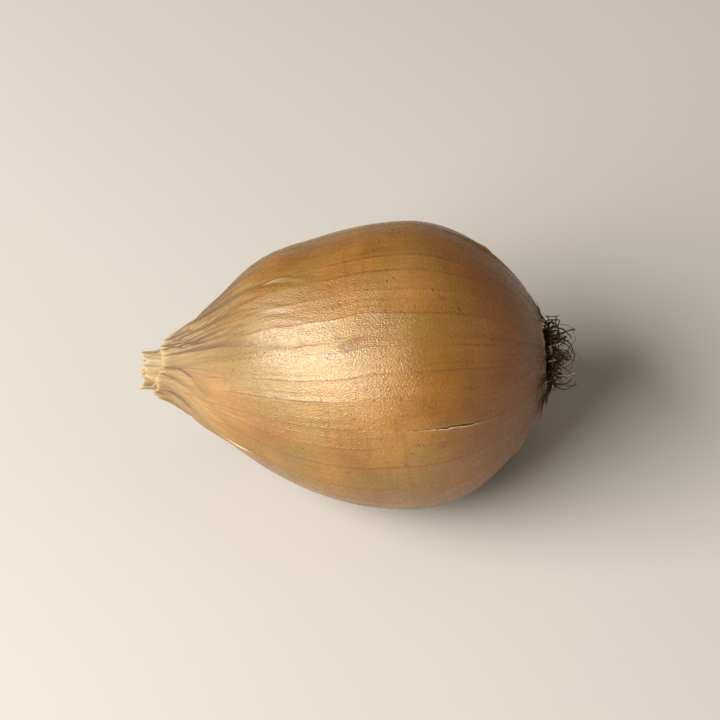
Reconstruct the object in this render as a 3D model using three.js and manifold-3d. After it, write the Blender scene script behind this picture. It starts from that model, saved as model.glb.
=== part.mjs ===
// A yellow storage onion lying on its side, as dried and topped after harvest: the bulb in its papery
// skin, drawn out into a dry neck, and the tuft of dried roots on its basal plate.
//
// Millimetres, +Z up. The origin is the centre of the small flat spot that the onion rests on, the neck
// points to -X and the roots to +X. Each piece is first made upright, standing on the basal plate with the
// neck up +Y as a lathe turns it, and is then laid down.

import * as THREE from "three";
import { mergeVertices } from "three/addons/utils/BufferGeometryUtils.js";
import Module from "manifold-3d";

const wasm = await Module();
wasm.setup();

// ---- driving dimensions ----
const bulbRadius = 32; // at the widest ring, before it is pressed slightly oval
const widestHeight = 30.5; // of the widest ring above the basal plate
const shoulderHeight = 77; // where the cone of the shoulders turns into the neck
const shoulderRadius = 13;
const neckTopHeight = 93; // where the dry neck was topped
const neckTopRadius = 4.8;
const plateRadius = 7; // the basal plate, which sits in a shallow dimple
const plateDimple = 1.1;

const humpHeight = 66; // one shoulder is fuller than the other, most so at this height and angle
const humpAngle = 0.95;
const humpShare = 0.1; // of the radius there

const droop = THREE.MathUtils.degToRad(5); // the neck hangs this far below level
const restDepth = 0.85; // how much of the round belly the flat spot takes away

const rootCount = 22;
const rootRadius = 0.45;
const rootGap = 0.3; // between the bulb and the root tuft
const matRadius = 5.6; // the disc of matted root stubs
const matThickness = 1.6;

const turns = 60; // facets round the bulb
const goldenAngle = Math.PI * (3 - Math.sqrt(5));

// ---- the bulb's own irregular growth ----

// How far the grown centre line strays sideways at a height: the neck leans over as it dries.
function leanAt(height) {
  const t = Math.max(0, (height - widestHeight) / (neckTopHeight - widestHeight));
  return { x: 3.2 * t * t, z: -1.6 * t * t };
}

// The radius's share at an angle and height: pressed oval, with faint lobes that fade at both ends, the
// pinch of the drying neck and the fuller shoulder.
function swellAt(angle, height) {
  const t = THREE.MathUtils.clamp(height / shoulderHeight, 0, 1);
  const belly = Math.sin(Math.PI * t);
  const oval = 0.016 * Math.cos(2 * (angle - 0.5));
  const lobes = 0.009 * Math.cos(3 * angle + 1.1) + 0.006 * Math.cos(5 * angle - 0.7 + 2.2 * t);
  const neck = THREE.MathUtils.smoothstep(height, shoulderHeight - 6, neckTopHeight);
  const pinch = 0.2 * neck * Math.cos(2 * (angle - 1.1 - 0.9 * neck));
  const facing = ((1 + Math.cos(angle - humpAngle)) / 2) ** 3;
  const hump = humpShare * facing * Math.exp(-(((height - humpHeight) / 11) ** 2));
  return 1 + belly * (oval + lobes) + pinch + hump;
}

// Moves every vertex of an upright turned shape from the perfect lathe form to the grown one.
function grow(geometry) {
  const position = geometry.getAttribute("position");
  for (let i = 0; i < position.count; i++) {
    const [x, y, z] = [position.getX(i), position.getY(i), position.getZ(i)];
    const swell = swellAt(Math.atan2(z, x), y);
    const lean = leanAt(y);
    position.setXYZ(i, x * swell + lean.x, y, z * swell + lean.z);
  }
  return geometry;
}

// ---- solids ----

// A closed geometry, with its shared vertices merged, as a manifold-3d solid.
function solidOf(geometry) {
  const bare = geometry.index ? geometry.toNonIndexed() : geometry.clone();
  bare.deleteAttribute("normal");
  bare.deleteAttribute("uv");
  const merged = mergeVertices(bare, 1e-4);
  return new wasm.Manifold(
    new wasm.Mesh({
      numProp: 3,
      vertProperties: merged.getAttribute("position").array,
      triVerts: new Uint32Array(merged.index.array),
    }),
  );
}

function geometryOf(solid) {
  const mesh = solid.getMesh();
  const geometry = new THREE.BufferGeometry();
  geometry.setAttribute("position", new THREE.BufferAttribute(mesh.vertProperties, 3));
  geometry.setIndex(new THREE.BufferAttribute(mesh.triVerts, 1));
  geometry.computeVertexNormals();
  return geometry;
}

// ---- the bulb ----

// Half of the bulb's outline, from the middle of the basal plate round to the middle of the cut neck.
function bulbOutline() {
  const outline = new THREE.Path();
  outline.moveTo(0, plateDimple);
  outline.quadraticCurveTo(0.6 * plateRadius, plateDimple, plateRadius, 0.4);
  outline.bezierCurveTo(17, 2.8, bulbRadius, 15.5, bulbRadius, widestHeight);
  outline.bezierCurveTo(bulbRadius, 52, 21.8, 66, shoulderRadius, shoulderHeight);
  outline.bezierCurveTo(8.4, 82.8, 5.9, 86, neckTopRadius + 0.6, neckTopHeight - 2);
  outline.quadraticCurveTo(neckTopRadius, neckTopHeight, 0, neckTopHeight);
  return outline;
}

function uprightBulb() {
  const steps = [2, 14, 17, 8, 4]; // along each stretch of the outline, in its order
  const profile = [];
  bulbOutline().curves.forEach((curve, i) => {
    profile.push(...curve.getPoints(steps[i]).slice(i === 0 ? 0 : 1));
  });
  profile[0].x = 0;
  profile[profile.length - 1].x = 0;
  return grow(new THREE.LatheGeometry(profile, turns));
}

// ---- the root tuft ----

// One dried root: it leaves the mat, leans outwards and curls.
function rootGeometry(index) {
  const share = (index + 0.5) / rootCount;
  const around = index * goldenAngle;
  const ring = (matRadius - 1) * Math.sqrt(share);
  const length = 5.5 + 3 * ((index * 7) % 5) / 4;
  const curl = 1.4 * Math.sin(index * 2.3);
  const out = new THREE.Vector3(Math.cos(around), 0, Math.sin(around));
  const side = new THREE.Vector3(-out.z, 0, out.x);
  const down = new THREE.Vector3(0, -1, 0);
  const at = (o, s, d) =>
    new THREE.Vector3().addScaledVector(out, o).addScaledVector(side, s).addScaledVector(down, d);
  const lean = 0.25 + 0.75 * share;
  const path = new THREE.CatmullRomCurve3([
    at(ring, 0, 0.4),
    at(ring + 0.25 * lean * length, 0.3 * curl, 0.35 * length),
    at(ring + 0.6 * lean * length, curl, 0.6 * length),
    at(ring + 0.85 * lean * length, 0.6 * curl, 0.85 * length),
  ]);
  const section = new THREE.Shape().absarc(0, 0, rootRadius, 0, 2 * Math.PI);
  return new THREE.ExtrudeGeometry(section, { steps: 7, curveSegments: 3, extrudePath: path });
}

// The matted stubs form a thin disc, domed to follow the dimple that it sits in.
function matGeometry() {
  const profile = new THREE.Path();
  profile.moveTo(0, -matThickness);
  profile.lineTo(matRadius - 0.8, -matThickness + 0.2);
  profile.lineTo(matRadius, -0.5 * matThickness);
  profile.quadraticCurveTo(0.5 * matRadius, plateDimple - rootGap - 0.1, 0, plateDimple - rootGap - 0.1);
  return new THREE.LatheGeometry(profile.getPoints(5), 24);
}

function uprightRoots() {
  let tuft = solidOf(matGeometry());
  for (let i = 0; i < rootCount; i++) {
    tuft = tuft.add(solidOf(rootGeometry(i)));
  }
  return geometryOf(tuft);
}

// ---- laying the onion down ----

const layDown = new THREE.Matrix4()
  .makeRotationY(-droop)
  .multiply(new THREE.Matrix4().makeRotationZ(Math.PI / 2));

// The lowest point of a laid-down geometry, which the flat spot is centred under.
function lowestPoint(geometry) {
  const position = geometry.getAttribute("position");
  const point = new THREE.Vector3();
  const lowest = new THREE.Vector3(0, 0, Infinity);
  for (let i = 0; i < position.count; i++) {
    point.fromBufferAttribute(position, i);
    if (point.z < lowest.z) lowest.copy(point);
  }
  return lowest;
}

const bulbLaid = uprightBulb().applyMatrix4(layDown);
const rootsLaid = uprightRoots().applyMatrix4(layDown);
const lowest = lowestPoint(bulbLaid);
const settle = new THREE.Matrix4().makeTranslation(-lowest.x, -lowest.y, -lowest.z - restDepth);
bulbLaid.applyMatrix4(settle);
rootsLaid.applyMatrix4(settle);

// Everything below the surface that the onion rests on.
const below = new THREE.BoxGeometry(200, 200, 20).translate(0, 0, -10);
const bulbGeometry = geometryOf(solidOf(bulbLaid).subtract(solidOf(below)));

// ---- materials and the part ----

const skin = new THREE.MeshStandardMaterial({ color: 0xb38656, roughness: 0.42, metalness: 0 });
const driedRoot = new THREE.MeshStandardMaterial({ color: 0x6b5a42, roughness: 0.9, metalness: 0 });

const bulb = new THREE.Mesh(bulbGeometry, skin);
bulb.name = "bulb";
const rootTuft = new THREE.Mesh(rootsLaid, driedRoot);
rootTuft.name = "root_tuft";

const onion = new THREE.Group();
onion.name = "onion";
onion.add(bulb, rootTuft);

export default onion;
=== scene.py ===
import math
import random
from bisect import bisect_right
from functools import lru_cache

import bmesh
import bpy
from mathutils import Matrix, Vector, noise
from mathutils.geometry import interpolate_bezier


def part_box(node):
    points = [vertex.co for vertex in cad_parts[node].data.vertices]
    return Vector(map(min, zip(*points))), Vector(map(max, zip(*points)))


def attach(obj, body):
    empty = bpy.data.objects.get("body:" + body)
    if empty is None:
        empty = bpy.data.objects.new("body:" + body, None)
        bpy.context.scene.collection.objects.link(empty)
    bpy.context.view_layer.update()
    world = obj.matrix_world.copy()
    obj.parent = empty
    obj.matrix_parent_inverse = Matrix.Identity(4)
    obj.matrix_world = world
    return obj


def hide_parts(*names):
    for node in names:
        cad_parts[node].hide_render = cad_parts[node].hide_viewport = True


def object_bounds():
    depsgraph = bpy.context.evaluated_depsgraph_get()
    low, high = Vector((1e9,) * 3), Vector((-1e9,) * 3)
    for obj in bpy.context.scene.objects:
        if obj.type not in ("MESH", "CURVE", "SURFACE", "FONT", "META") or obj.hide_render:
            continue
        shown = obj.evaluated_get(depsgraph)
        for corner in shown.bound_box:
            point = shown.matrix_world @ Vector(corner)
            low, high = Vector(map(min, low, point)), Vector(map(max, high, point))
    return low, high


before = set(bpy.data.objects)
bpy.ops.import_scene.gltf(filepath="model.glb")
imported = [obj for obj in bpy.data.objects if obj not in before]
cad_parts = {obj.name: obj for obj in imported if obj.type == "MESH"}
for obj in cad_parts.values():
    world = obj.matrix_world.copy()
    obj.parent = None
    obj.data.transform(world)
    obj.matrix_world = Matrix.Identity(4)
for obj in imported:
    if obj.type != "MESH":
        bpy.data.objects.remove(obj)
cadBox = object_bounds()
print("frame loaded")

# A yellow storage onion lying on its side, with the neck towards -X and the roots towards +X.
# Every piece is shaped upright and in millimetres, standing on its basal plate, and is then laid down.


# Camera, floor and light

studio = {
    "elevation": 45,  # degrees the camera looks down
    "distance": 0.46,  # metres from the onion's middle
    "lens": 102,
    "floorSize": 3.0, "floorGap": 0.00005,  # the floor lies this far under the onion
    "floorColour": (0.50, 0.485, 0.46),
    "skyColour": (1.0, 0.93, 0.83),
    "skyStrength": 0.13,
}

lamps = [  # degrees turned from the camera's side and above the floor, distance, size and power
    {"name": "window", "turn": -61, "rise": 32, "away": 0.95, "size": (1.0, 0.68), "power": 27.0,
     "warmth": (1.0, 0.96, 0.88)},
    {"name": "room", "turn": 85, "rise": 24, "away": 1.3, "size": (0.9, 0.9), "power": 1.5,
     "warmth": (1.0, 0.8, 0.58)},
    {"name": "ceiling", "turn": 165, "rise": 70, "away": 1.2, "size": (0.9, 0.9), "power": 1.3,
     "warmth": (1.0, 0.9, 0.74)},
]


def middle(box):
    return (box[0] + box[1]) / 2


def fromSide(turn, rise, away):
    flat = away * math.cos(math.radians(rise))
    return Vector((flat * math.sin(math.radians(turn)), -flat * math.cos(math.radians(turn)),
                   away * math.sin(math.radians(rise))))


def aim(thing, target):
    thing.rotation_euler = (target - thing.location).to_track_quat("-Z", "Y").to_euler()


def addCamera():
    camera = bpy.data.objects.new("camera", bpy.data.cameras.new("camera"))
    camera.data.lens = studio["lens"]
    camera.data.clip_start = 0.01
    target = middle(cadBox)
    camera.location = target + fromSide(0, studio["elevation"], studio["distance"])
    aim(camera, target)
    bpy.context.scene.collection.objects.link(camera)
    bpy.context.scene.camera = camera


def addLamps():
    for lamp in lamps:
        data = bpy.data.lights.new(lamp["name"], "AREA")
        data.shape = "RECTANGLE"
        data.size, data.size_y = lamp["size"]
        data.energy = lamp["power"]
        data.color = lamp["warmth"]
        light = bpy.data.objects.new(lamp["name"], data)
        light.location = middle(cadBox) + fromSide(lamp["turn"], lamp["rise"], lamp["away"])
        aim(light, middle(cadBox))
        bpy.context.scene.collection.objects.link(light)


# Small helpers for node materials: a socket given as a value is linked, anything else is set

def newMaterial(name):
    material = bpy.data.materials.new(name)
    material.use_nodes = True
    material.node_tree.nodes.clear()
    return material, material.node_tree


def addNode(tree, kind, inputs=None, **settings):
    made = tree.nodes.new(kind)
    for key, value in settings.items():
        setattr(made, key, value)
    for key, value in (inputs or {}).items():
        if isinstance(value, bpy.types.NodeSocket):
            tree.links.new(value, made.inputs[key])
        else:
            made.inputs[key].default_value = value
    return made


def colour(text):
    parts = [int(text[i:i + 2], 16) / 255 for i in (1, 3, 5)]
    return tuple(p / 12.92 if p < 0.04045 else ((p + 0.055) / 1.055) ** 2.4 for p in parts) + (1.0,)


def maths(tree, operation, a, b):
    return addNode(tree, "ShaderNodeMath", {0: a, 1: b}, operation=operation).outputs[0]


def times(tree, a, b):
    return maths(tree, "MULTIPLY", a, b)


def total(tree, *values):
    added = values[0]
    for value in values[1:]:
        added = maths(tree, "ADD", added, value)
    return added


def ranged(tree, value, low, high, toLow=0.0, toHigh=1.0):
    limits = {"Value": value, "From Min": low, "From Max": high, "To Min": toLow, "To Max": toHigh}
    return addNode(tree, "ShaderNodeMapRange", limits, interpolation_type="SMOOTHSTEP").outputs["Result"]


def mixed(tree, share, a, b):
    return addNode(tree, "ShaderNodeMix", {0: share, 6: a, 7: b}, data_type="RGBA").outputs[2]


def stretched(tree, vector, scale, shift=(0, 0, 0)):
    return addNode(tree, "ShaderNodeMapping", {"Vector": vector, "Scale": scale,
                                              "Location": shift}).outputs["Vector"]


def noiseOf(tree, vector, scale=1.0, detail=2.0, roughness=0.5, distortion=0.0):
    return addNode(tree, "ShaderNodeTexNoise", {
        "Vector": vector, "Scale": scale, "Detail": detail, "Roughness": roughness,
        "Distortion": distortion}).outputs["Fac"]


def cellsOf(tree, vector, feature, randomness=1.0):
    return addNode(tree, "ShaderNodeTexVoronoi", {"Vector": vector, "Scale": 1.0, "Randomness": randomness},
                   feature=feature)


def attribute(tree, name, output="Fac"):
    return addNode(tree, "ShaderNodeAttribute", attribute_name=name).outputs[output]


def parted(tree, vector):
    return addNode(tree, "ShaderNodeSeparateXYZ", {"Vector": vector}).outputs


def surface(tree, inputs):
    shader = addNode(tree, "ShaderNodeBsdfPrincipled", inputs)
    addNode(tree, "ShaderNodeOutputMaterial", {"Surface": shader.outputs["BSDF"]})


def addFloor():
    bm = bmesh.new()
    bmesh.ops.create_grid(bm, x_segments=4, y_segments=4, size=studio["floorSize"] / 2)
    bmesh.ops.translate(bm, verts=bm.verts, vec=(0, 0, -studio["floorGap"]))
    mesh = bpy.data.meshes.new("floor")
    bm.to_mesh(mesh)
    bm.free()
    floor = bpy.data.objects.new("floor", mesh)
    bpy.context.scene.collection.objects.link(floor)
    material, tree = newMaterial("paleFloor")
    place = addNode(tree, "ShaderNodeTexCoord").outputs["Object"]
    cloud = noiseOf(tree, place, scale=6.0, detail=3.0)
    surface(tree, {"Base Color": studio["floorColour"] + (1.0,), "Specular IOR Level": 0.3,
                   "Roughness": ranged(tree, cloud, 0.3, 0.7, 0.55, 0.7)})
    mesh.materials.append(material)


def addWorld():
    world = bpy.data.worlds.new("studio")
    world.use_nodes = True
    background = world.node_tree.nodes["Background"]
    background.inputs["Color"].default_value = studio["skyColour"] + (1.0,)
    background.inputs["Strength"].default_value = studio["skyStrength"]
    bpy.context.scene.world = world
    bpy.context.scene.view_settings.view_transform = "Standard"


addCamera()
addLamps()
addFloor()
addWorld()
print("studio ready")


# The bulb's own form, upright and in millimetres

form = {
    "radius": 32, "widest": 30.5,  # of the widest ring, and its height above the basal plate
    "shoulder": 77, "shoulderRadius": 13,
    "neckTop": 93, "neckRadius": 4.8,
    "plateRadius": 7, "dimple": 1.1,
    "droop": 5,  # degrees the neck hangs below level
    "humpHeight": 66, "humpAngle": 0.95, "humpShare": 0.1,  # one shoulder is fuller than the other
    "seed": 41.3,
    "plateSteps": 14, "sideSteps": 60, "neckSteps": 24,
}


def outlinePoints():
    f = form
    start = (0, f["dimple"])
    rim = (f["plateRadius"], 0.4)
    widest = (f["radius"], f["widest"])
    shoulder = (f["shoulderRadius"], f["shoulder"])
    top = (f["neckRadius"] + 0.6, f["neckTop"] - 2)
    curves = [  # from the middle of the basal plate to just past the neck's top
        (start, (2.8, f["dimple"]), (5.1, 0.87), rim, f["plateSteps"]),
        (rim, (17, 2.8), (f["radius"], 15.5), widest, f["sideSteps"]),
        (widest, (f["radius"], 52), (21.8, 66), shoulder, f["sideSteps"]),
        (shoulder, (8.4, 82.8), (5.9, 86), top, f["neckSteps"]),
        (top, (5.2, 93), (5.2, 95), (5.2, 97), 6),
    ]
    points = [Vector(start)]
    for a, b, c, d, count in curves:
        points += interpolate_bezier(Vector(a), Vector(b), Vector(c), Vector(d), count)[1:]
    return [Vector(p[:2]) for p in points]


outline = outlinePoints()
reach = [0.0]  # distance along the outline from the middle of the basal plate
for a, b in zip(outline, outline[1:]):
    reach.append(reach[-1] + (b - a).length)


@lru_cache(maxsize=20000)
def outlineAt(along):  # the point that far along, and the direction that faces outwards there
    i = min(max(bisect_right(reach, along) - 1, 0), len(outline) - 2)
    t = (along - reach[i]) / (reach[i + 1] - reach[i])
    here = outline[i + 1] - outline[i]
    if t < 0.5 and i:
        other = outline[i] - outline[i - 1]
    else:
        other = outline[min(i + 2, len(outline) - 1)] - outline[i + 1]
    share = abs(t - 0.5) if other.length else 0
    tangent = here.normalized() * (1 - share) + other.normalized() * share
    tangent.normalize()
    return outline[i] + here * t, Vector((tangent.y, -tangent.x))


def alongAtHeight(height):
    i = next(k for k in range(form["plateSteps"], len(outline)) if outline[k].y >= height)
    share = (height - outline[i - 1].y) / (outline[i].y - outline[i - 1].y)
    return reach[i - 1] + share * (reach[i] - reach[i - 1])


def smooth(low, high, value):
    t = min(max((value - low) / (high - low), 0), 1)
    return t * t * (3 - 2 * t)


def swell(angle, height):
    t = min(max(height / form["shoulder"], 0), 1)
    belly = math.sin(math.pi * t)
    oval = 0.016 * math.cos(2 * (angle - 0.5))
    lobes = 0.009 * math.cos(3 * angle + 1.1) + 0.006 * math.cos(5 * angle - 0.7 + 2.2 * t)
    neck = smooth(form["shoulder"] - 6, form["neckTop"], height)
    pinch = 0.2 * neck * math.cos(2 * (angle - 1.1 - 0.9 * neck))
    facing = ((1 + math.cos(angle - form["humpAngle"])) / 2) ** 3
    hump = form["humpShare"] * facing * math.exp(-(((height - form["humpHeight"]) / 11) ** 2))
    return 1 + belly * (oval + lobes) + pinch + hump


def lean(height):
    t = max(0, (height - form["widest"]) / (form["neckTop"] - form["widest"]))
    return Vector((3.2 * t * t, 1.6 * t * t, 0))


def ringNoise(angle, around, along, seed=0.0):  # no seam, and about 6 * around features in a turn
    place = Vector((around * math.cos(angle), around * math.sin(angle), along + seed + form["seed"]))
    return noise.noise(place)


relief = {
    "dents": 0.34, "flats": 0.11, "ribs": 0.035,  # heights of the skin's unevenness
    "folds": 0.115, "creases": 0.26,  # wrinkles of the dry end, the first as a share of the radius
    "dryEnd": (52, 90), "foldEnd": (60, 86),  # heights over which they grow to their full size
    "twist": 0.9, "twistEnd": (70, 96),  # radians the neck's folds turn
    "fan": 0.2, "fanAngle": 1.2,  # fine creases of one shoulder
    "fanStart": (46, 60), "fanEnd": (94, 82),
    "pucker": 0.30, "puckerEnd": (24, 9),  # round the basal plate
}


def drift(angle, along):  # the veins and creases stray a little from straight
    return 0.035 * ringNoise(angle, 1.1, along / 55, 31.0) + 0.004 * ringNoise(angle, 4.5, along / 14, 36.0)


@lru_cache(maxsize=200000)
def wrinkles(angle, height, radius):  # heights of the dry end's folds and creases, and of one shoulder's
    r = relief
    dry = smooth(*r["dryEnd"], height)
    turned = angle + r["twist"] * smooth(*r["twistEnd"], height)
    folds = 2 * abs(ringNoise(turned, 2.3, height / 26, 12.4)) - 0.35
    creases = 2 * abs(ringNoise(turned, 6.5, height / 15, 21.9)) - 0.4
    high = dry * (r["folds"] * radius * folds * smooth(*r["foldEnd"], height) + r["creases"] * creases)
    facing = max(0, math.cos(angle - r["fanAngle"])) ** 2
    facing = facing * smooth(*r["fanStart"], height) * smooth(*r["fanEnd"], height)
    fan = 0.7 - 2.4 * abs(ringNoise(angle + 0.012 * height, 15, height / 30, 27.7))
    return high, facing * r["fan"] * fan


def skinRelief(angle, along, height, radius):
    belly = smooth(8, 18, along)
    high = belly * relief["dents"] * ringNoise(angle, 1.7, height / 24)
    high += belly * relief["flats"] * ringNoise(angle, 5.2, height / 42, 7.7)
    high += relief["ribs"] * (1 - 2 * abs(ringNoise(angle, 12, height / 34, 3.1)))
    high += sum(wrinkles(angle, height, radius))
    nearPlate = smooth(*relief["puckerEnd"], along)
    high += nearPlate * relief["pucker"] * (abs(ringNoise(angle, 6, along / 9, 5.5)) - 0.2)
    return high


# painted shade: marks the bottoms of the wrinkles, where the skin's colour is darkened
def wrinkleShadeAt(angle, along):  # 1 at the bottom of a wrinkle
    spot = outlineAt(along)[0]
    folds, fan = wrinkles(angle + drift(angle, along), spot.y, spot.x)
    folded = smooth(0.02, -0.3, folds + 0.3 * smooth(80, 70, spot.y)) * 0.8
    return min(1, folded + smooth(0.07, -0.11, fan) * (abs(fan) > 0.01))


def grown(angle, along, out=0.0):
    spot, outward = outlineAt(along)
    centred = spot.x < 0.02
    angle += drift(angle, along)
    spot = spot + outward * (out + (0 if centred else skinRelief(angle, along, spot.y, spot.x)))
    radius = 0 if centred else max(spot.x, 0) * swell(angle, spot.y)
    return Vector((radius * math.cos(angle), -radius * math.sin(angle), spot.y)) + lean(spot.y)


# Rows of the closed shape that is turned: how far along the outline, how deep under it, and how much
# each row follows the torn edge it belongs to

tears = {
    "columns": 420, "skinRows": 166, "plateRows": 8,
    "plateReach": 5.4, "innerReach": 5.6,  # where the bare plate ends and the next skin starts
    "rootEdge": 8.8, "rootRag": 0.9,  # where the outer skin ends round the basal plate
    "rootRoom": 7, "neckRoom": 15,  # lengths of skin that stretch to follow the torn edges
    "skinThick": 0.2, "underSkin": 0.42,
}

# Dried leaf bases of the neck: height of the torn edge, how deep the outside lies, how far the inside
# shows, and how much higher the edge stands on the side it faces
sheaths = [
    {"edge": 86.6, "inset": 0.0, "depth": 4.5, "sway": 2.7, "faces": 205},
    {"edge": 89.6, "inset": 0.85, "depth": 4.5, "sway": 1.7, "faces": 70},
    {"edge": 92.0, "inset": 1.8, "depth": 4.0, "sway": 1.2, "faces": 290},
]


def buildRows():
    rows = []
    t = tears

    def add(along, inset, kind, edge=None, follow=0.0, lip=0.0, flare=0.0):
        rows.append({"along": along, "inset": inset, "kind": kind, "edge": edge, "follow": follow,
                     "lip": lip, "flare": flare})

    for k in range(t["plateRows"]):
        along = t["plateReach"] * k / t["plateRows"]
        add(along, 0.25 * smooth(3, 6, along), "plate")
    for k in range(t["plateRows"]):
        share = k / (t["plateRows"] - 1)
        along = t["innerReach"] + share * (t["rootEdge"] + 0.9 - t["innerReach"])
        add(along, 0.12 + (t["underSkin"] - 0.12) * smooth(0, 0.5, share), "inner", "root", share)
    add(t["rootEdge"] + 1.0, t["skinThick"] + 0.06, "inner", "root", 1)
    add(t["rootEdge"] + 0.3, t["skinThick"], "inner", "root", 1, 0.6)
    add(t["rootEdge"], t["skinThick"] * 0.85, "inner", "root", 1, 1)
    add(t["rootEdge"] - 0.05, 0.0, "skin", "root", 1, 1)
    neckEdge = alongAtHeight(sheaths[0]["edge"])
    for k in range(1, t["skinRows"] + 1):
        along = t["rootEdge"] + (neckEdge - t["rootEdge"]) * k / t["skinRows"]
        fromRoot, fromNeck = along - t["rootEdge"], neckEdge - along
        near, room = ("root", t["rootRoom"]) if fromRoot < fromNeck else ("neck0", t["neckRoom"])
        distance = min(fromRoot, fromNeck)
        add(along, 0.0, "skin", near, 1 - smooth(0, room, distance), math.exp(-distance / 0.6),
            math.exp(-distance / 2.2))
    for k, sheath in enumerate(sheaths):
        edge = f"neck{k}"
        top, depth = alongAtHeight(sheath["edge"]), sheath["depth"]
        for share in (0, 0.2, 0.4, 0.6, 0.75, 0.87, 0.95, 1) if k else ():
            add(top - (depth + 0.4) * (1 - share), sheath["inset"], "inner", edge, 0.2 + 0.8 * share,
                share ** 8, share ** 2)
        add(top, sheath["inset"] + 0.2, "inner", edge, 1, 1, 1)
        for share in (0.12, 0.35, 0.65, 1):
            add(top - depth * share, sheath["inset"] + 0.24 + 0.2 * share, "inner", edge, 1 - 0.8 * share,
                0.4 if share < 0.2 else 0, (1 - share) ** 2)
    last = rows[-1]["along"]
    for inset in (2.9, 3.6, 20):
        add(last - 0.3, inset, "inner", "neck2", 0.2)
    return rows


rows = buildRows()
columns = tears["columns"]
print("rows", len(rows), "columns", columns)


def wrapped(column):
    return (column + columns / 2) % columns - columns / 2


# Lengthwise veins, each along one column of the skin

veinLook = {
    "main": 34, "minor": 74,  # how many
    "ridge": 0.05,  # height
    "broken": 15,  # length of the stretches that fade
    "flat": 0.36,  # how flat the skin is drawn between main veins
}


def chooseVeins():
    dice = random.Random(5)
    strength, mains = [0.0] * columns, []
    for k in range(veinLook["minor"]):
        strength[dice.randrange(columns)] = dice.uniform(0.15, 0.5)
    for k in range(veinLook["main"]):
        column = round((k + dice.uniform(-0.32, 0.32)) * columns / veinLook["main"]) % columns
        for beside in (-2, -1, 1, 2):
            strength[(column + beside) % columns] = 0.0
        strength[column] = dice.uniform(0.6, 1.0)
        mains.append(column)
    return strength, sorted(mains)


veinStrength, mainColumns = chooseVeins()


def flattened(column, along, radius):
    k = bisect_right(mainColumns, column)
    first = mainColumns[k - 1] - (0 if k else columns)
    last = mainColumns[k] if k < len(mainColumns) else mainColumns[0] + columns
    half = (last - first) / 2
    sag = radius * (1 - math.cos(half * 2 * math.pi / columns))
    share = (column - first) / half - 1
    drawn = veinLook["flat"] + 0.6 * noise.noise(Vector((along / 16, k * 3.7, 8.8)))
    return -sag * (1 - share * share) * drawn


def veinAt(column, along):
    if not veinStrength[column]:
        return 0.0
    kept = smooth(-0.42, 0.1, noise.noise(Vector((along / veinLook["broken"], column * 1.7, 3.3))))
    return veinStrength[column] * (0.25 + 0.75 * kept)


# Splits in the outer skin run lengthwise with its veins. Each is open widest at the share of its length
# called mouth, and its two lips stand up by lift.

splits = [
    {"at": 164, "start": 25, "end": 50, "gap": 0.46, "mouth": 0.55, "lift": (0.04, 0.5), "slant": -3.2},
    {"at": 124, "start": 57, "end": 74, "gap": 0.2, "mouth": 0.4, "lift": (0.05, 0.1), "slant": 0.5},
    {"at": 232, "start": 15, "end": 47, "gap": 1.0, "mouth": 0.2, "lift": (0.5, 1.0), "slant": 2.4},
    {"at": 305, "start": 12, "end": 64, "gap": 1.4, "mouth": 0.3, "lift": (1.1, 0.6), "slant": -3.0},
    {"at": 62, "start": 17, "end": 40, "gap": 0.6, "mouth": 0.6, "lift": (0.25, 0.7), "slant": 2.0},
    {"at": 20, "start": 72, "end": 97, "gap": 0.8, "mouth": 0.7, "lift": (0.8, 0.4), "slant": -1.5},
    {"at": 196, "start": 84, "end": 98, "gap": 0.3, "mouth": 0.5, "lift": (0.25, 0.35), "slant": 1.0},
    {"at": 342, "start": 24, "end": 41, "gap": 0.4, "mouth": 0.5, "lift": (0.2, 0.45), "slant": 1.0},
]
for number, split in enumerate(splits):
    split["column"] = round(split["at"] / 360 * columns)
    split["number"] = number

lips = {  # how a split shapes the skin beside it, in millimetres to either side
    "reach": 14, "share": 0.17,  # the skin further away doesn't move, which is this share of a turn at most
    "ragReach": 0.8,  # its rag dies out in this
    "gather": 0.45, "gatherReach": 2.2,  # the mesh is gathered towards it
    "gapReach": 2.5, "liftReach": 1.1,
    "pale": 0.14, "paleLifted": 0.34,  # width of the pale rim
    "tuck": 0.9,  # how far its wall reaches under the skin
}

stains = [  # small brown blemishes
    {"at": 127, "along": 61, "size": 1.5, "strength": 0.8},
    {"at": 122, "along": 63, "size": 0.9, "strength": 0.6},
    {"at": 172, "along": 42, "size": 0.6, "strength": 0.7},
    {"at": 148, "along": 35, "size": 0.5, "strength": 0.8},
    {"at": 108, "along": 40, "size": 0.6, "strength": 0.9},
    {"at": 52, "along": 48, "size": 2.4, "strength": 0.6},
    {"at": 268, "along": 70, "size": 2.0, "strength": 0.8},
    {"at": 330, "along": 58, "size": 3.0, "strength": 0.5},
    {"at": 212, "along": 62, "size": 1.3, "strength": 0.8},
    {"at": 12, "along": 30, "size": 1.6, "strength": 0.7},
]


@lru_cache(maxsize=20000)
def splitPath(number, along):  # how far the split strays, slowly and quickly, and how open it is there
    split, seed = splits[number], 17.3 * number
    share = (along - split["start"]) / (split["end"] - split["start"])
    fade = smooth(-0.4, 0.1, share) * smooth(1.4, 0.9, share)
    slow = split["slant"] * (share - 0.5) + 1.1 * noise.noise(Vector((along / 11, seed, 4)))
    quick = 0.26 * noise.noise(Vector((along / 1.5, seed, 9)))
    quick += 0.14 * noise.noise(Vector((along / 0.6, seed, 2)))
    opened = 0.0
    if 0 < share < 1:
        opened = 0.34 + 0.66 * math.exp(-(((share - split["mouth"]) / 0.2) ** 2))
        opened *= math.sin(math.pi * share) ** 0.7
        opened *= 0.85 + 0.5 * noise.noise(Vector((along / 2.5, seed, 0)))
    return fade * slow, fade * quick, opened


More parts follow.
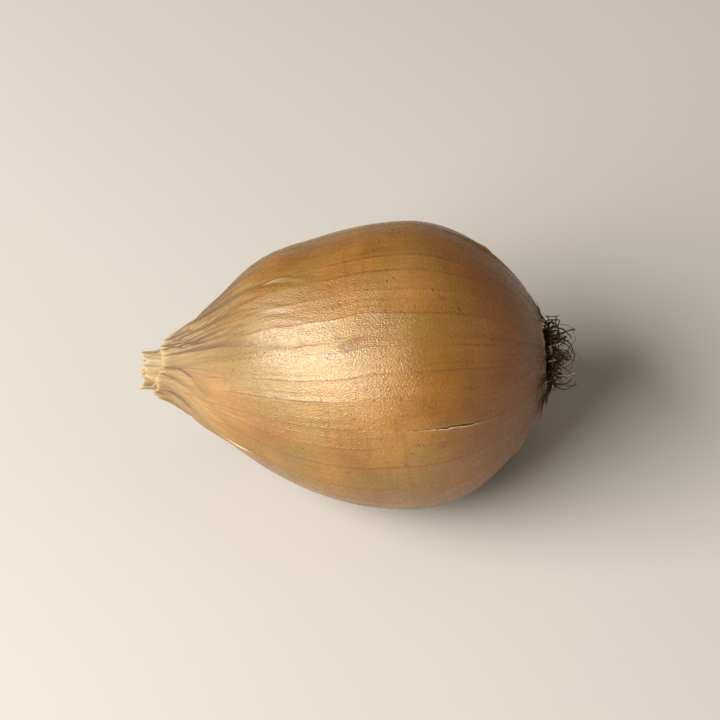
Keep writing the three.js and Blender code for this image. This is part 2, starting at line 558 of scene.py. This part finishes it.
def besideSplit(split, along, gapped, side, depth):  # moves sideways and outwards, and how pale it is
    distance = abs(gapped)
    slow, quick, opened = splitPath(split["number"], along)
    lateral = slow * math.exp(-((distance / lips["reach"]) ** 2))
    lateral += quick * math.exp(-distance / lips["ragReach"])
    lateral -= lips["gather"] * gapped * math.exp(-((distance / lips["gatherReach"]) ** 2))
    if not opened or distance > lips["reach"]:
        return lateral, 0.0, 0.0
    lip = split["lift"][0 if side < 0 else 1] * opened
    if depth < 4:
        lateral += side * split["gap"] / 2 * opened * math.exp(-distance / lips["gapReach"])
    lateral += side * lips["tuck"] * opened * (0, 0, 1, 1, 0)[depth]
    out = lip * (math.exp(-distance / lips["liftReach"]), 1, 0.35, 0, 0)[depth]
    thick, under = tears["skinThick"], tears["underSkin"]
    out -= min(1, 3 * opened) * (0, thick, thick, under, under)[depth]
    rim = lips["paleLifted"] if lip > 0.1 else lips["pale"]
    return lateral, out, min(1, 1.6 * opened ** 1.5) * math.exp(-distance / rim)


@lru_cache(maxsize=20000)
def ragged(edge, angle):
    if edge == "root":
        rag = tears["rootRag"] * (ringNoise(angle, 2.4, 1.7) + 0.7 * ringNoise(angle, 11, 8.2))
        for split in splits:  # a split that starts low tears the edge open
            if split["start"] < 20:
                away = abs(wrapped((math.degrees(angle) - split["at"]) / 360 * columns))
                away *= 2 * math.pi / columns * 9
                rag += (split["start"] - tears["rootEdge"] - 0.4) * math.exp(-(away / 0.75) ** 1.3)
        return rag
    layer = int(edge[4:])
    sheath = sheaths[layer]
    sway = sheath["sway"] * math.cos(angle - math.radians(sheath["faces"]))
    points = 2.6 * (0.3 - abs(ringNoise(angle, 1.6, 6.1 * layer + 4.4)))
    nicks = -2.2 * max(0, 0.22 - abs(ringNoise(angle, 2.6, 3.7 * layer + 9.1)))
    return sway + points + nicks + 0.45 * ringNoise(angle, 7, 5.3 * layer + 2.2)


def stainAt(angle, along, radius):
    strongest = 0.0
    for stain in stains:
        across = (angle - math.radians(stain["at"]) + math.pi) % (2 * math.pi) - math.pi
        away = math.hypot(across * radius, 0.55 * (along - stain["along"])) / stain["size"]
        if away < 2:
            away += 0.9 * noise.noise(Vector((across * radius / 0.8, along / 1.1, stain["at"])))
            strongest = max(strongest, stain["strength"] * smooth(1.15, 0.35, away))
    return strongest


def layDown():  # lays the onion down where the frame has it, and turns millimetres into metres
    turn = Matrix.Rotation(math.radians(-90), 4, "X") @ Matrix.Rotation(math.radians(-90), 4, "Y")
    turn = Matrix.Rotation(math.radians(-form["droop"]), 4, "Y") @ turn
    low, high = Vector((1e9, 1e9, 1e9)), Vector((-1e9, -1e9, -1e9))
    for spot in outline:
        if spot.y > form["neckTop"]:
            continue
        for degrees in range(0, 360, 4):
            angle = math.radians(degrees)
            radius = spot.x * swell(angle, spot.y)
            place = Vector((radius * math.cos(angle), -radius * math.sin(angle), spot.y)) + lean(spot.y)
            place = turn @ place
            low = Vector(map(min, low, place))
            high = Vector(map(max, high, place))
    cadLow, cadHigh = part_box("bulb")
    shift = Vector((cadLow.x * 1000 - low.x, cadLow.y * 1000 - low.y, cadHigh.z * 1000 - high.z))
    return Matrix.Scale(0.001, 4) @ Matrix.Translation(shift) @ turn


toPlace = layDown()
print("laid down by", [round(v, 5) for v in toPlace.translation])


def restOn(bm, give=0.00012):  # flattens what would sink into the surface below
    for v in bm.verts:
        over = v.co.z / give
        if over < 8:
            v.co.z = give * math.log1p(math.exp(over)) if over > -30 else 0.0


def finishPiece(bm, name, materials, node):
    bmesh.ops.transform(bm, matrix=toPlace, verts=bm.verts)
    restOn(bm)
    for face in bm.faces:
        face.smooth = True
    mesh = bpy.data.meshes.new(name)
    bm.to_mesh(mesh)
    bm.free()
    piece = bpy.data.objects.new(name, mesh)
    bpy.context.scene.collection.objects.link(piece)
    for material in materials:
        mesh.materials.append(material)
    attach(piece, "root")
    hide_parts(node)
    print(name, len(mesh.vertices), "vertices")


# The bulb: one closed shell, turned and then opened along its splits

def turnedBulb():
    bm = bmesh.new()
    rowOf = bm.verts.layers.int.new("row")
    profile = []
    for k, row in enumerate(rows):
        spot, outward = outlineAt(row["along"])
        spot = spot - outward * row["inset"]
        v = bm.verts.new((max(spot.x, 0), 0, spot.y))
        v[rowOf] = k
        profile.append(v)
    profile[0].co.x = 0
    profile[-1].co.x = 0
    edges = [bm.edges.new(pair) for pair in zip(profile, profile[1:])]
    bmesh.ops.spin(bm, geom=profile + edges, cent=(0, 0, 0), axis=(0, 0, 1), angle=2 * math.pi,
                   steps=columns, use_merge=True)
    poles = [v for v in bm.verts if v.co.xy.length < 1e-6]
    bmesh.ops.remove_doubles(bm, verts=poles, dist=1e-5)
    return bm, rowOf


def splitSkin(bm, rowOf, columnOf, sideOf, depthOf, splitOf):
    for split in splits:
        inside = [k for k, row in enumerate(rows)
                  if row["kind"] == "skin" and split["start"] < row["along"] < split["end"]]
        first, last = inside[0], inside[-1]

        def lineVerts():
            return [v for v in bm.verts if v[columnOf] == split["column"] and first <= v[rowOf] <= last]

        chosen = set(lineVerts())
        edges = {e for v in chosen for e in v.link_edges if e.verts[0] in chosen and e.verts[1] in chosen}
        bmesh.ops.split_edges(bm, edges=list(edges))
        opened = lineVerts()
        for v in opened:
            if v.is_boundary and first < v[rowOf] < last:
                sides = sum(wrapped(w[columnOf] - split["column"]) for f in v.link_faces for w in f.verts)
                v[sideOf] = 1 if sides > 0 else -1
            v[splitOf] = split["number"] + 1
        rim = list({e for v in opened for e in v.link_edges if e.is_boundary})
        for depth in (1, 2, 3, 4):
            made = bmesh.ops.extrude_edge_only(bm, edges=rim)["geom"]
            for v in made:
                if isinstance(v, bmesh.types.BMVert):
                    v[depthOf] = depth
            rim = [e for e in made if isinstance(e, bmesh.types.BMEdge) and e.is_boundary]


def edgeOut(row, angle, along):  # how far a torn edge stands off
    if row["edge"] == "root":
        return 0.28 * row["lip"] * (0.4 + abs(ringNoise(angle, 5, 2.9)))
    if row["flare"] > 0.02:
        return row["flare"] * (0.25 + 1.1 * ringNoise(angle, 1.5, 2.9 * len(row["edge"]) + along / 40))
    return 0.0


def markFaces(bm, rowOf, depthOf):
    for face in bm.faces:
        kinds = {rows[v[rowOf]]["kind"] for v in face.verts}
        outside = "skin" in kinds and max(v[depthOf] for v in face.verts) < 2
        face.material_index = 0 if outside else 1
    for edge in bm.edges:
        sides = [face.material_index for face in edge.link_faces]
        if len(set(sides)) == 2 or {edge.verts[0][depthOf], edge.verts[1][depthOf]} == {1}:
            edge.smooth = False


def shapeBulb():
    bm, rowOf = turnedBulb()
    whole, numbers, vectors = bm.verts.layers.int, bm.verts.layers.float, bm.verts.layers.float_vector
    columnOf, sideOf = whole.new("column"), whole.new("side")
    depthOf, splitOf = whole.new("depth"), whole.new("split")
    for v in bm.verts:
        v[columnOf] = round(math.atan2(-v.co.y, v.co.x) / (2 * math.pi) * columns) % columns
    splitSkin(bm, rowOf, columnOf, sideOf, depthOf, splitOf)
    grain, marks = vectors.new("grain"), vectors.new("marks")  # marks: stained, inside a split, in a wrinkle
    torn, vein = numbers.new("torn"), numbers.new("vein")
    near = [[s for s in splits if abs(wrapped(c - s["column"])) < columns * lips["share"]]
            for c in range(columns)]
    for v in bm.verts:
        row, column, depth = rows[v[rowOf]], v[columnOf], v[depthOf]
        skin = row["kind"] == "skin"
        angle = column / columns * 2 * math.pi
        along, lateral = row["along"], 0.0
        if row["edge"]:
            along += row["follow"] * ragged(row["edge"], angle)
        out = edgeOut(row, angle, along) - row["inset"]
        pale = row["lip"] * (1 if row["edge"] == "root" else 0.55)
        radius = max(outlineAt(along)[0].x, 0.5)
        for split in near[column] if skin else ():
            gapped = wrapped(column - split["column"]) * 2 * math.pi / columns * radius
            side = v[sideOf] if abs(gapped) < 1e-6 else (1 if gapped > 0 else -1)
            aside, raised, paler = besideSplit(split, along, gapped, side, depth)
            lateral += aside
            out += raised
            pale = max(pale, paler)
        if skin:
            out += flattened(column, along, radius)
        veined = veinAt(column, along) if skin and not depth else 0.0
        v.co = grown(angle + lateral / radius, along, out + veinLook["ridge"] * veined)
        v[vein] = veined
        v[grain] = (math.cos(angle), math.sin(angle), along)
        v[torn] = (1 if depth == 1 else 0) if depth else pale
        # The second mark, on the floor of a split, darkens it with dust and painted shade; the third darkens
        # the wrinkles with painted shade.
        v[marks] = (stainAt(angle, along, radius), 1 if depth >= 2 else 0, wrinkleShadeAt(angle, along))
    markFaces(bm, rowOf, depthOf)
    bmesh.ops.remove_doubles(bm, verts=[v for v in bm.verts if v[splitOf]], dist=2e-3)
    bmesh.ops.dissolve_verts(bm, verts=[v for v in bm.verts if len(v.link_faces) == 2])
    bmesh.ops.recalc_face_normals(bm, faces=bm.faces)
    return bm


# The skin's material reads grain: the direction round the onion in X and Y, and the length along it in Z

skinLook = {
    "light": "#A67A37", "mid": "#8B5D22", "deep": "#6B3D0F", "khaki": "#7B6128",
    "vein": "#4A2913", "speck": "#2E1C0D", "olive": "#5C4620", "stain": "#55300F",
    "grey": "#8C7550", "edge": "#DDC598", "soilAndShade": "#503116", "copper": "#8A4510",
    "rough": (0.21, 0.29), "bump": 0.8, "bumpDepth": 0.00016,
    "specular": 0.88, "tint": (1.0, 0.97, 0.83, 1.0), "coat": 0.1, "coatRough": 0.24,
    "glow": 0.1, "glowTones": (0.9, 0.45, 0.15), "glowDepth": 0.0012,  # light that scatters in the skin
    "underPale": 0.18,  # the skin below the torn one is paler
}


def fleckLayer(tree, place):  # small dark flecks, in loose clusters
    cluster = noiseOf(tree, place, scale=95, detail=1.0)
    rag = addNode(tree, "ShaderNodeTexNoise", {"Vector": place, "Scale": 2600.0, "Detail": 1.0})
    moved = addNode(tree, "ShaderNodeVectorMath", {0: rag.outputs["Color"], "Scale": 0.0006},
                    operation="SCALE").outputs["Vector"]
    moved = addNode(tree, "ShaderNodeVectorMath", {0: place, 1: moved}, operation="ADD").outputs["Vector"]
    dots = cellsOf(tree, stretched(tree, moved, (720, 720, 720)), "F1")
    chance = addNode(tree, "ShaderNodeSeparateColor", {"Color": dots.outputs["Color"]}).outputs["Red"]
    chance = times(tree, chance, ranged(tree, cluster, 0.35, 0.6, 0.7, 1.0))
    size = ranged(tree, chance, 0.38, 1.0, 0.0, 0.3)
    return ranged(tree, maths(tree, "SUBTRACT", size, dots.outputs["Distance"]), 0.0, 0.12)


def fineVeinLayer(tree, grain):  # a faint net between the main veins
    lengthwise = stretched(tree, grain, (9.5, 9.5, 1 / 260), (5.1, 2.2, 1.3))
    cells = cellsOf(tree, lengthwise, "DISTANCE_TO_EDGE", 0.85)
    presence = noiseOf(tree, stretched(tree, grain, (3, 3, 1 / 10), (1, 7, 3)), detail=2.0)
    return times(tree, ranged(tree, cells.outputs["Distance"], 0.0, 0.04, 1.0, 0.0),
                 ranged(tree, presence, 0.4, 0.65, 0.0, 0.6))


def papery(name, under=False):
    look = skinLook
    material, tree = newMaterial(name)
    grain = attribute(tree, "grain", "Vector")
    along = parted(tree, grain)["Z"]
    torn, vein = attribute(tree, "torn"), attribute(tree, "vein")
    stained, splitDustAndShade, wrinkleShade = parted(tree, attribute(tree, "marks", "Vector"))
    place = addNode(tree, "ShaderNodeTexCoord").outputs["Object"]

    clouds = noiseOf(tree, place, scale=42, detail=2.0)
    patches = noiseOf(tree, place, scale=150, detail=3.0, roughness=0.6)
    blotches = noiseOf(tree, place, scale=60, detail=2.0, distortion=0.6)
    bands = noiseOf(tree, stretched(tree, grain, (3.4, 3.4, 1 / 60), (3, 1, 5)), detail=2.0)
    fibres = noiseOf(tree, stretched(tree, grain, (46, 46, 1 / 9), (9, 2, 1)), detail=3.0, roughness=0.6)
    rings = noiseOf(tree, stretched(tree, grain, (2.2, 2.2, 0.45), (6, 2, 8)), detail=3.0)
    pores = noiseOf(tree, stretched(tree, grain, (150, 150, 2.4), (7, 3, 1)), detail=2.0, roughness=0.6)
    mainVeins = maths(tree, "POWER", vein, 1.7)
    fineVeins = fineVeinLayer(tree, grain)
    flecks = fleckLayer(tree, place)

    # olive on the shoulder that faced the light, grey towards the neck, earth round the roots, and painted
    # shade in the folds of the neck
    facing = addNode(tree, "ShaderNodeVectorMath", {0: grain, 1: (0.17, 0.98, 0.0)}, operation="DOT_PRODUCT")
    olive = times(tree, ranged(tree, facing.outputs["Value"], 0.35, 1.0), ranged(tree, along, 74, 94))
    olive = times(tree, olive, ranged(tree, fibres, 0.35, 0.6, 1.0, 0.45))
    greying = times(tree, ranged(tree, along, 88, 110), ranged(tree, fibres, 0.3, 0.62, 0.8, 0.35))
    soiled = times(tree, ranged(tree, along, 27, 8), ranged(tree, fibres, 0.36, 0.58, 1.0, 0.2))
    paintedFoldShade = times(tree, ranged(tree, along, 84, 100), ranged(tree, wrinkleShade, 0.2, 0.9, 0.0, 0.75))

    tone = mixed(tree, ranged(tree, clouds, 0.34, 0.66), colour(look["deep"]), colour(look["light"]))
    layers = [  # how much of each colour is laid over those before it
        (0.6, "mid"),
        (ranged(tree, patches, 0.42, 0.7, 0.0, 0.2), "light"),
        (ranged(tree, patches, 0.46, 0.3, 0.0, 0.2), "deep"),
        (ranged(tree, blotches, 0.45, 0.66, 0.0, 0.6), "khaki"),
        (ranged(tree, bands, 0.42, 0.7, 0.0, 0.15), "deep"),
        (ranged(tree, fibres, 0.3, 0.7, 0.13, 0.0), "deep"),
        (ranged(tree, rings, 0.42, 0.32, 0.0, 0.22), "deep"),
        (times(tree, fineVeins, 0.3), "vein"),
        (times(tree, mainVeins, 0.62), "vein"),
        (times(tree, flecks, 0.6), "speck"),
        # painted shade: the skin darkens in the tiny pits that the bump sinks
        (ranged(tree, pores, 0.45, 0.28, 0.0, 0.5), "deep"),
        (times(tree, olive, 0.75), "olive"),
        # painted shade: the skin is darkened with olive at the bottom of its wrinkles
        (times(tree, wrinkleShade, 0.6), "olive"),
        (greying, "grey"),
        # deeper copper towards the roots: partly the skin's own tone there, partly painted warm shade on
        # that end
        (times(tree, ranged(tree, along, 56, 18), 0.64), "copper"),
        (times(tree, soiled, 0.68), "soilAndShade"),
        # painted shade: the neck's folds are darkened with the soil colour
        (paintedFoldShade, "soilAndShade"),
        (look["underPale"] if under else 0.0, "edge"),
        (times(tree, stained, 0.6), "stain"),
        (times(tree, torn, 0.75), "edge"),
        # dust and painted shade: the floor of each split is darkened with the vein colour
        (times(tree, splitDustAndShade, 0.7), "vein"),
    ]
    for share, name in layers:
        tone = mixed(tree, share, tone, colour(look[name]))

    # rows of dried cells, each with a gloss of its own, which glitter in the light
    cells = cellsOf(tree, stretched(tree, grain, (105, 105, 2.3), (4, 6, 2)), "F1").outputs
    cellGloss = addNode(tree, "ShaderNodeSeparateColor", {"Color": cells["Color"]}).outputs["Green"]
    waves = noiseOf(tree, place, scale=380, detail=2.0)
    heights = [(pores, 0.7), (cells["Distance"], -0.5), (waves, 0.3), (fibres, 0.4), (mainVeins, 0.5),
               (fineVeins, 0.3), (flecks, 0.3)]
    height = total(tree, *[times(tree, part, share) for part, share in heights])
    bump = addNode(tree, "ShaderNodeBump", {"Strength": look["bump"], "Distance": look["bumpDepth"],
                                            "Height": height})
    rough = total(tree, ranged(tree, patches, 0.3, 0.7, *look["rough"]),
                  ranged(tree, fibres, 0.3, 0.7, 0.04, -0.01), ranged(tree, cellGloss, 0.1, 0.9, -0.1, 0.12),
                  times(tree, stained, 0.3), times(tree, ranged(tree, along, 84, 108), 0.22))
    surface(tree, {"Base Color": tone, "Roughness": rough, "Normal": bump.outputs["Normal"],
                   "Specular IOR Level": look["specular"], "Specular Tint": look["tint"],
                   "Coat Weight": look["coat"], "Coat Roughness": look["coatRough"],
                   "Subsurface Weight": look["glow"], "Subsurface Radius": look["glowTones"],
                   "Subsurface Scale": look["glowDepth"]})
    return material


skins = [papery("outerSkin"), papery("innerSkin", under=True)]
finishPiece(shapeBulb(), "papery_bulb", skins, "bulb")


# Basal plate and dried roots

rootLook = {
    "count": 170, "steps": 12, "sides": 5,
    "thick": (0.11, 0.3), "length": (4.0, 11.5),  # radius at the plate, and length
    "spread": 5.2, "reach": 8.2,  # radius of the tuft at the plate, and the most it grows to
    "floorDepth": 7.9,  # how far the tuft reaches below the plate
    "cling": 44, "clingFaces": 208,  # strands that dried against the bulb, most of them on this side
    "clingStart": 4.6, "clingLength": (4, 12),
    "tipTaper": 0.45, "taper": 0.93,
    "pale": "#9A8A70", "brown": "#3A2C1E", "mottle": "#4A3B29", "dark": "#1F160E",
}
plateLook = {"radius": 5.7, "around": 72, "thick": 1.5}


def driedRootMaterial():
    look = rootLook
    material, tree = newMaterial("driedRoot")
    strand = parted(tree, attribute(tree, "strand", "Vector"))  # its own tone, and how near the tip
    place = addNode(tree, "ShaderNodeTexCoord").outputs["Object"]
    mottle = noiseOf(tree, stretched(tree, place, (1100, 1100, 1100)), detail=3.0)
    tone = mixed(tree, ranged(tree, strand["X"], 0.35, 1.0), colour(look["brown"]), colour(look["pale"]))
    tone = mixed(tree, ranged(tree, mottle, 0.35, 0.65, 0.0, 0.6), tone, colour(look["mottle"]))
    # dark towards the plate: partly soil on the roots, partly painted shade inside the tuft
    tone = mixed(tree, ranged(tree, strand["Y"], 0.0, 0.5, 0.85, 0.0), tone, colour(look["dark"]))
    bump = addNode(tree, "ShaderNodeBump", {"Strength": 0.6, "Distance": 0.0002, "Height": mottle})
    surface(tree, {"Base Color": tone, "Roughness": 0.85, "Normal": bump.outputs["Normal"],
                   "Specular IOR Level": 0.25})
    return material


def rootPath(number, dice):
    turn = number * math.pi * (3 - math.sqrt(5))
    share = (number + 0.5) / rootLook["count"]
    start = rootLook["spread"] * math.sqrt(share)
    outwards = 0.2 + 0.9 * share
    direction = Vector((math.cos(turn) * outwards, math.sin(turn) * outwards, -1)).normalized()
    place = Vector((start * math.cos(turn), start * math.sin(turn), 0.5))
    length = dice.uniform(*rootLook["length"]) * (1.0 if dice.random() < 0.6 else 0.5)
    curlAxis = Vector((dice.uniform(-1, 1), dice.uniform(-1, 1), dice.uniform(-0.4, 0.4))).normalized()
    curl = dice.uniform(0.05, 0.42) * dice.choice((-1, 1))
    path = [place.copy()]
    for step in range(rootLook["steps"]):
        direction = Matrix.Rotation(curl * (0.3 + step / 6), 3, curlAxis) @ direction
        direction += 0.28 * Vector((dice.uniform(-1, 1), dice.uniform(-1, 1), dice.uniform(-1, 1)))
        if place.z < -0.75 * rootLook["floorDepth"] and direction.z < 0:
            direction.z *= 0.2
        if place.xy.length > rootLook["reach"] and direction.xy.dot(place.xy) > 0:
            direction.xy *= 0.25
        if place.z > -0.6 and direction.z > -0.3:
            direction.z = -0.5
        direction.normalize()
        place = place + direction * length / rootLook["steps"]
        path.append(place.copy())
    return path


def clingPath(dice):
    cling = rootLook["clingFaces"]
    faces = math.radians(dice.gauss(cling, 24) if dice.random() < 0.6 else dice.uniform(0, 360))
    length = dice.uniform(*rootLook["clingLength"])
    wander, sway, lift = dice.uniform(-0.4, 0.4), dice.uniform(0, 6), dice.uniform(0.1, 0.9)
    path = []
    for step in range(rootLook["steps"] + 1):
        share = step / rootLook["steps"]
        angle = faces + wander * share + 0.07 * math.sin(sway + 6 * share)
        raised = 0.2 + lift * math.sin(1.5 * math.pi * share) ** 2
        path.append(grown(angle, rootLook["clingStart"] + length * share, raised))
    return path


def growRoots():
    dice = random.Random(7)
    bm = bmesh.new()
    rootOf = bm.verts.layers.int.new("root")
    strand = bm.verts.layers.float_vector.new("strand")
    count, steps, sides = rootLook["count"], rootLook["steps"], rootLook["sides"]
    paths = [rootPath(k, dice) for k in range(count)]
    paths += [clingPath(dice) for k in range(rootLook["cling"])]
    thick = [dice.uniform(*rootLook["thick"]) * (1 if k < count else 0.7) for k in range(len(paths))]
    tones = [dice.random() for k in range(len(paths))]
    for k, path in enumerate(paths):
        tilt = (path[1] - path[0]).to_track_quat("Z", "Y").to_matrix().to_4x4()
        made = bmesh.ops.create_circle(bm, cap_ends=True, segments=sides, radius=thick[k],
                                       matrix=Matrix.Translation(path[0]) @ tilt)
        for v in made["verts"]:
            v[rootOf] = k
            v[strand] = (tones[k], 0, 0)
    tips = list(bm.faces)
    for step in range(1, steps + 1):
        tips = bmesh.ops.extrude_discrete_faces(bm, faces=tips)["faces"]
        taper = rootLook["taper"] if step < steps else rootLook["tipTaper"]
        for tip in tips:
            k = tip.verts[0][rootOf]
            path = paths[k]
            before = (path[step] - path[step - 1]).normalized()
            after = (path[step + 1] - path[step]).normalized() if step < steps else before
            previous = (path[step - 1] - path[step - 2]).normalized() if step > 1 else before
            turn = (previous + before).rotation_difference(before + after).to_matrix()
            for v in tip.verts:
                v.co = path[step] + taper * (turn @ (v.co - path[step - 1]))
                v[strand] = (tones[k], step / steps, 0)
    bmesh.ops.holes_fill(bm, edges=[e for e in bm.edges if e.is_boundary], sides=sides)
    bmesh.ops.recalc_face_normals(bm, faces=bm.faces)
    return bm


def shapePlate():
    bm = bmesh.new()
    strand = bm.verts.layers.float_vector.new("strand")
    radius, thick, around = plateLook["radius"], plateLook["thick"], plateLook["around"]
    stations = [(0.0, -thick), (0.35, -thick), (0.7, -thick * 0.95), (0.9, -thick * 0.6), (1.0, 0.0),
                (0.97, 0.9)]
    profile = [bm.verts.new((radius * r, 0, h + form["dimple"] - 0.35)) for r, h in stations]
    edges = [bm.edges.new(pair) for pair in zip(profile, profile[1:])]
    bmesh.ops.subdivide_edges(bm, edges=edges, cuts=3)
    bmesh.ops.spin(bm, geom=bm.verts[:] + bm.edges[:], cent=(0, 0, 0), axis=(0, 0, 1), angle=2 * math.pi,
                   steps=around, use_merge=True)
    bmesh.ops.remove_doubles(bm, verts=bm.verts, dist=1e-4)
    bmesh.ops.holes_fill(bm, edges=[e for e in bm.edges if e.is_boundary], sides=around + 2)
    for v in bm.verts:
        rough = noise.fractal(v.co * 1.1 + Vector((3, 8, 1)), 0.9, 2.1, 4)
        v.co += Vector((v.co.x * 0.05, v.co.y * 0.05, -0.5)) * rough
        v[strand] = (0.25 + 0.3 * rough, 0.2, 0)
    bmesh.ops.recalc_face_normals(bm, faces=bm.faces)
    return bm


driedRoot = driedRootMaterial()
finishPiece(shapePlate(), "basal_plate", [driedRoot], "root_tuft")
finishPiece(growRoots(), "roots", [driedRoot], "root_tuft")
